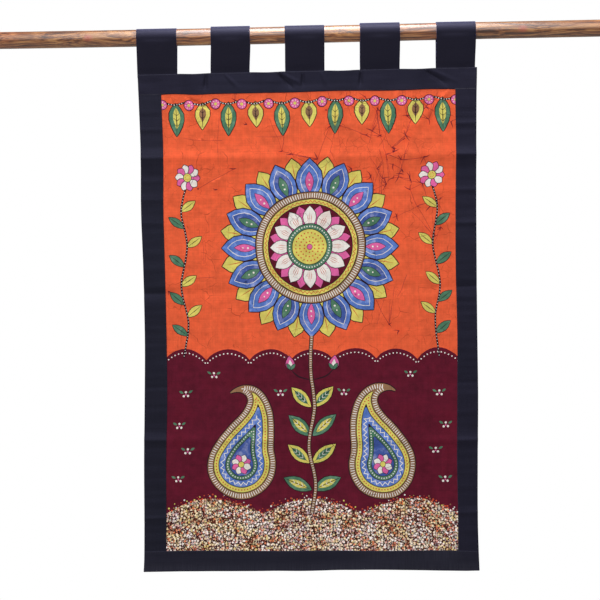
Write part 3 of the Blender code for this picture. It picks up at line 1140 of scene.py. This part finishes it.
# Grain: touching drops of many colours, with the dark ground between them.
drop_place = swayed(tree, cloth, 140.0, (0.0016, 0.0016, 0.0))
drift = share_of(tree, clouds(tree, cloth, 26.0, 3.0), 0.3, 0.7, -0.20, 0.20)
drop_stops = (
    (0.00, (0.980, 0.890, 0.850)),
    (0.15, (0.900, 0.720, 0.500)),
    (0.27, (0.780, 0.620, 0.300)),
    (0.35, (0.560, 0.520, 0.440)),
    (0.42, (0.820, 0.480, 0.420)),
    (0.52, (0.500, 0.340, 0.400)),
    (0.58, (0.980, 0.860, 0.820)),
    (0.72, (0.780, 0.250, 0.130)),
    (0.80, (0.500, 0.150, 0.110)),
    (0.89, (0.130, 0.030, 0.026)),
)
grains = (0.034, 0.008, 0.007)
for scale, channel, reach in ((410.0, 1, 0.24), (224.0, 0, 0.32)):
    drops = put(tree, "TexVoronoi", voronoi_dimensions="2D", Vector=drop_place, Scale=scale, Randomness=1.0)
    on_drop = share_of(tree, drops.outputs["Distance"], reach, reach + 0.10, 1.0, 0.0)
    kind = put(tree, "SeparateColor", Color=drops.outputs["Color"]).outputs[channel]
    drop_colour = colour_steps(tree, reckon(tree, "ADD", kind, drift), drop_stops, "CONSTANT")
    grains = blend_colours(tree, on_drop, grains, drop_colour)
golden = share_of(tree, long_clouds(tree, cloth, (38.0, 38.0, 1.0), 2.7), 0.44, 0.60)
grains = blend_colours(tree, golden, grains, tinted(tree, grains, (0.98, 0.90, 0.62)))
dyed = blend_colours(tree, grain, dyed, grains)

# Crackle: a web of hairlines, broken off where the wax held.
web_place = swayed(tree, cloth, 34.0, (0.030, 0.030, 0.0))
hairlines = []
for scale, width, strength, shift, low in ((26.0, 0.016, 1.0, 9.1, 0.50), (75.0, 0.034, 0.75, 5.3, 0.54)):
    web = put(tree, "TexVoronoi", voronoi_dimensions="2D", Vector=web_place, Scale=scale)
    web.feature = "DISTANCE_TO_EDGE"
    hairline = share_of(tree, web.outputs["Distance"], width * 0.2, width, strength, 0.0)
    held = long_clouds(tree, cloth, (24.0, 24.0, 1.0), shift)
    hairlines.append(times(tree, hairline, share_of(tree, held, low, low + 0.1)))
crackle = reckon(tree, "MULTIPLY", reckon(tree, "MAXIMUM", *hairlines), veins, clamp=True)
dyed = blend_colours(tree, crackle, dyed, tinted(tree, dyed, (0.20, 0.10, 0.16)))

weave_height = times(tree, plain_weave(tree, cloth, 1400.0), 0.5)
surfaced(tree, shader, dyed, reckon(tree, "ADD", weave_height, streaks), 0.35, 0.00022)
shader.inputs["Sheen Weight"].default_value = 0.03
shader.inputs["Sheen Roughness"].default_value = 0.5
batik_mesh.materials.append(batik_finish)
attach(batik, "root")
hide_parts("batik_panel")


# The navy strips.
# Plain-woven navy cotton with its edges turned in, folded double over the panel's raw edge and
# stitched through. The heading and the hem are the thickest, and lap over the ends of the side strips.
strip_pitch = 0.0020
cross_thickness = 0.0025
side_thickness = 0.0020
lap = 0.005
fold_radius = 0.00095
corner_from = 0.434
strip_puckers = (
    Pucker(-0.051, -0.064, -0.0315, -0.085, 0.0036, -0.0028),
    Pucker(-0.045, -0.064, -0.014, -0.082, 0.0036, 0.0008),
    Pucker(-0.011, -0.063, -0.011, -0.084, 0.0034, -0.0016),
    Pucker(0.020, -0.063, 0.027, -0.084, 0.0036, 0.0008),
    Pucker(0.085, -0.063, 0.084, -0.084, 0.0034, -0.0018),
    Pucker(0.192, -0.064, 0.222, -0.085, 0.0042, -0.0022),
    Pucker(0.202, -0.063, 0.240, -0.082, 0.0036, 0.0008),
    Pucker(-0.140, -0.063, -0.120, -0.084, 0.0036, 0.0008),
    Pucker(-0.170, -0.064, -0.172, -0.085, 0.0034, -0.0016),
)


def navy_cotton(name, tint, cast, bloom):
    """Dark cotton with a bluish bloom, lighter along some threads, and painted lighter where a piece
    marks it: a highlight with some rubbing along the heading's folds, and painted light at the hem's foot.
    """
    finish, tree, shader = new_finish(name, 0.50, 0.28)
    cloth = put(tree, "UVMap", uv_map="Cloth").outputs[0]
    warp = long_clouds(tree, cloth, (640.0, 18.0, 1.0), 0.0, 2.0, 0.65)
    weft = long_clouds(tree, cloth, (16.0, 620.0, 1.0), 2.2, 2.0, 0.65)
    threads = reckon(tree, "ADD", warp, weft)
    thread_light = share_of(tree, threads, 0.7, 1.3, 0.72, 1.28)
    cloud_light = share_of(tree, clouds(tree, cloth, 17.0), 0.3, 0.7, 0.86, 1.16)
    dyed = lightened(tree, tint, times(tree, thread_light, cloud_light))
    cast_clouds = long_clouds(tree, cloth, (5.0, 5.0, 1.0), 6.6, 1.0)
    toned = blend_colours(tree, share_of(tree, cast_clouds, 0.45, 0.65, 0.0, 0.5), dyed, cast)
    lint = share_of(tree, clouds(tree, cloth, 900.0, 1.0), 0.68, 0.80, 0.0, 0.3)
    # Pieces marked for it are painted lighter here: a painted highlight, with some rubbing, along the
    # heading's folds, and painted light towards the hem's foot; the hem is also lighter on the right.
    lighter_mask = put(tree, "Attribute", attribute_name="lighter_share").outputs["Fac"]
    lighter_mask = times(tree, lighter_mask, share_of(tree, warp, 0.35, 0.65, 0.1, 0.42))
    toned = blend_colours(tree, reckon(tree, "MAXIMUM", lint, lighter_mask), toned, (0.06, 0.06, 0.075))
    height = reckon(tree, "ADD", times(tree, plain_weave(tree, cloth, 1500.0), 0.6), threads)
    surfaced(tree, shader, toned, height, 0.4, 0.00022)
    shader.inputs["Specular Tint"].default_value = (0.56, 0.55, 1.0, 1.0)
    shader.inputs["Sheen Weight"].default_value = bloom
    shader.inputs["Sheen Roughness"].default_value = 0.45
    shader.inputs["Sheen Tint"].default_value = (0.45, 0.45, 1.0, 1.0)
    return finish


strip_cotton = navy_cotton("Navy strip cotton", (0.0058, 0.0050, 0.0080), (0.0053, 0.0058, 0.0084), 0.20)
left_cotton = navy_cotton("Navy left strip cotton", (0.0054, 0.0053, 0.0064), (0.0046, 0.0060, 0.0072), 0.20)
# The hem's cotton is a lighter copy of the strip cotton: painted light, so that the foot of the cloth looks
# as lit as its top.
painted_lighter_hem_cotton = navy_cotton("Navy hem cotton, painted lighter", (0.0078, 0.0076, 0.0098), (0.0076, 0.0082, 0.0104), 0.26)


def not_lightened(share, down):
    return 0.0


def heading_rubbing_and_highlight(share, down):
    """Its upper fold has some rubbing and a painted highlight, and so have the corners of its lower one,
    over the side strips, where the painted highlight is strongest.
    """
    if down < 0.001:
        return 1.0
    at_corner = down > 0.999 and abs(share - 0.5) > corner_from
    return mix(2.4, 4.6, share) if at_corner else 0.0


def hem_lightening(share, down):
    """Painted light makes it lighter towards its foot, and it is lighter on the right too."""
    at_foot = 0.42 * ease((down - 0.40) / 0.45)
    at_right = 0.32 * ease((share - 0.60) / 0.12) * (1.0 - ease((share - 0.90) / 0.06))
    return max(at_foot, at_right)


def cloth_grid(name, size, pitch, place, thickness, finish, wear=not_lightened):
    """A flat piece of cloth. place hangs it, and lightening paints it lighter in places, each by the
    shares across and down it.
    """
    columns, rows = (round(side / pitch) for side in size)
    form = bmesh.new()
    bmesh.ops.create_grid(form, x_segments=columns, y_segments=rows, size=0.5)
    flat = form.loops.layers.uv.new("Cloth")
    for face in form.faces:
        for corner in face.loops:
            corner[flat].uv = (corner.vert.co.x * size[0], corner.vert.co.y * size[1])
    lighter_share = form.verts.layers.float.new("lighter_share")
    for vertex in form.verts:
        share, down = vertex.co.x + 0.5, 0.5 - vertex.co.y
        vertex[lighter_share] = wear(share, down)
        vertex.co = place(share, down)
    piece = in_scene(name, as_mesh(form, name))
    piece.data.shade_smooth()
    piece.data.materials.append(finish)
    thickened(piece, thickness).use_even_offset = True
    folds = piece.modifiers.new("Round folds", "BEVEL")
    folds.width = min(fold_radius, thickness * 0.42)
    folds.segments = 3
    folds.limit_method = "ANGLE"
    folds.angle_limit = math.radians(60.0)
    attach(piece, "root")
    return piece


heading_area = Area("outer_left", "outer_right", heading_top, panel_top)
hem_area = Area("outer_left", "outer_right", panel_bottom, cloth_bottom)
left_area = Area("outer_left", "inner_left", panel_top, panel_bottom)
right_area = Area("inner_right", "outer_right", panel_top, panel_bottom)

Strip = namedtuple("Strip", "node area size lapped finish wear hangs_from")
tab_names = [f"tab_{number}_cloth" for number in range(1, len(tabs) + 1)]
from_heading = ["heading_strip_cloth"]
strips = (
    Strip("heading_strip", heading_area, (0.559, 0.0352), 0.0, strip_cotton, heading_rubbing_and_highlight, tab_names),
    Strip("hem_strip", hem_area, (0.553, 0.0345), 0.0, painted_lighter_hem_cotton, hem_lightening, ["batik_cloth"]),
    Strip("left_strip", left_area, (0.0373, 0.751), lap, left_cotton, not_lightened, from_heading),
    Strip("right_strip", right_area, (0.0347, 0.761), lap, strip_cotton, not_lightened, from_heading),
)
for strip in strips:
    shown_length = strip.size[1]
    thickness = side_thickness if strip.lapped else cross_thickness

    def strip_place(share, down):
        lapped_down = mix(-strip.lapped / shown_length, 1.0 + strip.lapped / shown_length, down)
        return hung(strip.area, share, lapped_down, strip_puckers)

    piece = cloth_grid(
        f"{strip.node}_cloth", strip.size, strip_pitch, strip_place, thickness, strip.finish, strip.wear
    )
    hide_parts(strip.node)


# The tabs.
# Five flat tubes of the same navy cotton, folded over the rod, with both ends caught between the
# layers of the heading. Some are fuller than others and stand higher on the rod.
tab_pitch = 0.0022
tab_clearance = 0.00015
tab_foot_depth = 0.00055
tab_foot_thickness = 0.0010
tab_bow = 0.0011
tab_ripple = 0.0006
leg_top = -0.010
leg_top_fade = 0.006
leg_foot = -0.050
leg_foot_fade = 0.011
turn_share = 0.42

# This flat length is 12 to 16 mm short of the cloth as it lies here, over the rod and into the heading.
tab_length = 0.168
tuck_share = lap / tab_length
tab_cotton = navy_cotton("Navy tab cotton", (0.0038, 0.0028, 0.0014), (0.0034, 0.0030, 0.0016), 1.0)


def tab_curve(way, thickness, seam_height):
    """The depth and height of a tab's middle surface. way is 0 at its front end and 1 at its back
    one, and both of them are tucked into the heading."""
    radius = rod_radius + tab_clearance + thickness / 2.0
    reach = math.hypot(tab_foot_depth, seam_height)
    seam_angle = 2.0 * math.pi + math.atan2(seam_height, -tab_foot_depth)
    front_contact = seam_angle - math.acos(radius / reach)
    back_contact = math.pi - front_contact
    leg_share = (1.0 - turn_share) / 2.0
    if way > 1.0 - leg_share:
        depth, height = tab_curve(1.0 - way, thickness, seam_height)
        return -depth, height
    if way < tuck_share:
        return -tab_foot_depth, seam_height - lap * (1.0 - way / tuck_share)
    if way < leg_share:
        contact = turned_point((0.0, 0.0), radius, math.degrees(front_contact))
        share = (way - tuck_share) / (leg_share - tuck_share)
        return part_way((-tab_foot_depth, seam_height), contact, share)
    angle = mix(front_contact, back_contact, (way - leg_share) / turn_share)
    return turned_point((0.0, 0.0), radius, math.degrees(angle))


for number, tab in enumerate(tabs, 1):
    seam_height = crosswise(heading_top, across_at(tab.centre, heading_top.left))
    rod_height = rod_axis_height(tab.centre)

    def tab_place(share, way):
        depth, height = tab_curve(way, tab.thickness, seam_height - rod_height)
        height += rod_height
        clear_of_rod = 1.0 - ease((height - leg_top) / leg_top_fade)
        clear_of_heading = 1.0 - ease((leg_foot - height) / leg_foot_fade)
        ripple = noise.noise(Vector((share * 2.0, height * 22.0, 2.0 + 3.0 * number)))
        bow = tab_bow * (1.0 - (2.0 * share - 1.0) ** 2) + tab_ripple * ripple
        depth += clear_of_rod * clear_of_heading * bow * (-1.0 if way < 0.5 else 1.0)
        lean = tab.lean * ease((height - seam_height) / 0.050)
        return Vector((tab.centre + lean + (share - 0.5) * tab.width, depth, height))

    piece = cloth_grid(
        f"tab_{number}_cloth", (tab.width, tab_length), tab_pitch, tab_place, tab.thickness, tab_cotton
    )
    fullness = piece.vertex_groups.new(name="Fullness")
    for vertex in piece.data.vertices:
        above_seam = ease((vertex.co.z - heading_top.left) / 0.020)
        fullness.add([vertex.index], mix(0.02, 1.0, above_seam), "REPLACE")
    piece.modifiers["Cloth thickness"].vertex_group = fullness.name
    piece.modifiers["Cloth thickness"].thickness_vertex_group = tab_foot_thickness / tab.thickness
    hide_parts(f"tab_{number}")


# The topstitching.
# Navy sewing thread in small even stitches, close inside the seams of the strips, through all layers
# and showing on both faces.
stitch_length = 0.0021
stitch_pitch = 0.0030
stitch_radius = 0.00022
stitch_inset = 0.0018
cross_end = 0.004
side_end = 0.001
thread_form = bmesh.new()
stitch_mesh = bpy.data.meshes.new("Stitch")


def stitch_line(area, start, end, thickness):
    """Stitches on both faces of the cloth, from one share across and down an area to another."""
    puckered = [hung(area, *part_way(start, end, share), strip_puckers) for share in (0.0, 0.5, 1.0)]
    length = (puckered[1] - puckered[0]).length + (puckered[2] - puckered[1]).length
    count = round(length / stitch_pitch)
    half_share = stitch_length / stitch_pitch / count / 2.0
    for i in range(count):
        share = (i + 0.5) / count
        first = hung(area, *part_way(start, end, share - half_share), strip_puckers)
        last = hung(area, *part_way(start, end, share + half_share), strip_puckers)
        run = last - first
        turn = run.to_track_quat("Z", "Y").to_matrix().to_4x4()
        shape = Matrix.Diagonal((stitch_radius, stitch_radius, run.length / 2.0, 1.0))
        for face in (-1.0, 1.0):
            middle = (first + last) / 2.0 + Vector((0.0, face * thickness / 2.0, 0.0))
            placed = Matrix.Translation(middle) @ turn @ shape
            stitch_form = bmesh.new()
            bmesh.ops.create_uvsphere(stitch_form, u_segments=5, v_segments=4, radius=1.0, matrix=placed)
            stitch_form.to_mesh(stitch_mesh)
            stitch_form.free()
            thread_form.from_mesh(stitch_mesh)


heading_in = stitch_inset / strips[0].size[1]
hem_in = stitch_inset / strips[1].size[1]
for area, down in ((heading_area, heading_in), (heading_area, 1.0 - heading_in), (hem_area, hem_in)):
    stitch_line(area, (cross_end, down), (1.0 - cross_end, down), cross_thickness)
left_in = stitch_inset / strips[2].size[0]
right_in = stitch_inset / strips[3].size[0]
for area, across in ((left_area, 1.0 - left_in), (right_area, right_in)):
    stitch_line(area, (across, side_end), (across, 1.0 - side_end), side_thickness)
bpy.data.meshes.remove(stitch_mesh)
thread = in_scene("topstitching", as_mesh(thread_form, "Topstitching"))
thread.data.shade_smooth()
sewing_thread, tree, shader = new_finish("Navy sewing thread", 0.55, 0.35)
on_thread = put(tree, "TexCoord").outputs["Object"]
plies = clouds(tree, on_thread, 2600.0, 2.0)
ply_stops = ((0.35, (0.006, 0.006, 0.010)), (0.65, (0.030, 0.030, 0.045)))
surfaced(tree, shader, colour_steps(tree, plies, ply_stops), plies, 0.4, 0.0001)
thread.data.materials.append(sewing_thread)
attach(thread, "root")
